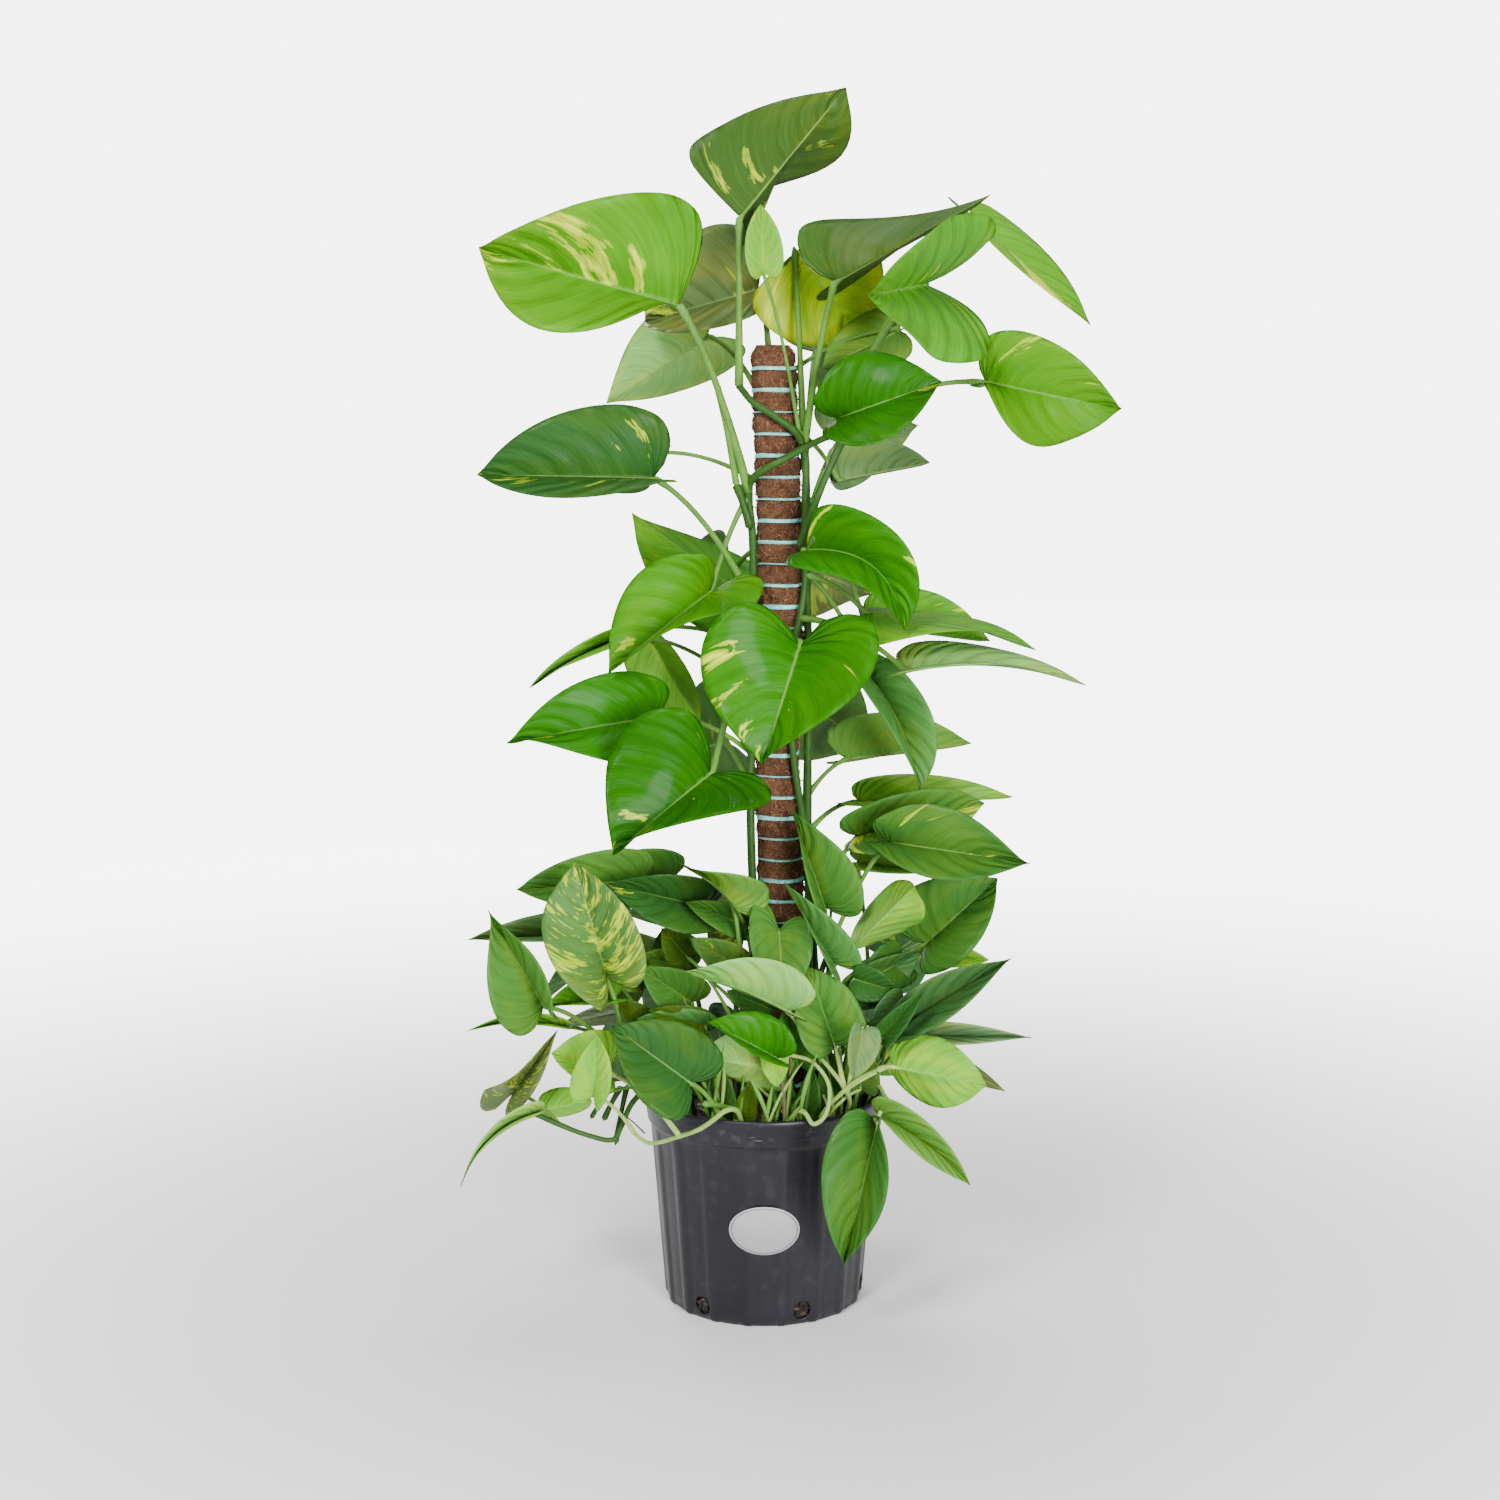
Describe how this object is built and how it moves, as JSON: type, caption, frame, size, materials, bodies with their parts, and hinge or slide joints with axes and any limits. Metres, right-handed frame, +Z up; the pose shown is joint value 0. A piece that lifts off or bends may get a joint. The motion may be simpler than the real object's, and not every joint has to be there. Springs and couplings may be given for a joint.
{
  "type": "potted golden pothos",
  "caption": "Golden pothos with large variegated leaves climbing a coir-wrapped totem pole, with shorter leafy shoots round its foot, in a round fluted nursery pot.",
  "frame": {"origin": "centre of the pot's flat underside", "axes": "+Z up along the pot's axis, -Y towards the side with the label and the most leaves, +X to the right as seen from that side"},
  "size_m": [0.6442, 0.4005, 1.2045],
  "materials": {
    "climbing_leaf": "satin, waxy",
    "shoot_leaf": "satin, waxy",
    "pot_plastic": "satin",
    "soil_mix": "rough, crumbly",
    "stake_wood": "raw",
    "coir_fibre": "fibrous",
    "twine_cord": "satin",
    "label_paper": "satin"
  },
  "bodies": {
    "root": {"vine_right": "climbing_leaf", "vine_left": "climbing_leaf", "vine_back": "climbing_leaf", "vine_front": "climbing_leaf", "shoot_left_side": "shoot_leaf", "shoot_left_upright": "shoot_leaf", "shoot_left_hanging": "shoot_leaf", "shoot_over_rim": "shoot_leaf", "shoot_left_behind": "shoot_leaf", "shoot_front_left": "shoot_leaf", "shoot_centre_left": "shoot_leaf", "shoot_front_arching": "shoot_leaf", "shoot_front_looped": "shoot_leaf", "shoot_front_short": "shoot_leaf", "shoot_centre_right": "shoot_leaf", "shoot_right_upright": "shoot_leaf", "shoot_right_side": "shoot_leaf", "shoot_right_low": "shoot_leaf", "shoot_right_hanging": "shoot_leaf", "shoot_back_left": "shoot_leaf", "shoot_back_centre": "shoot_leaf", "shoot_back_right": "shoot_leaf", "pot": "pot_plastic", "soil": "soil_mix", "pole_stake": "stake_wood", "coir_sleeve": "coir_fibre", "twine": "twine_cord", "label": "label_paper"}
  },
  "joints": []
}
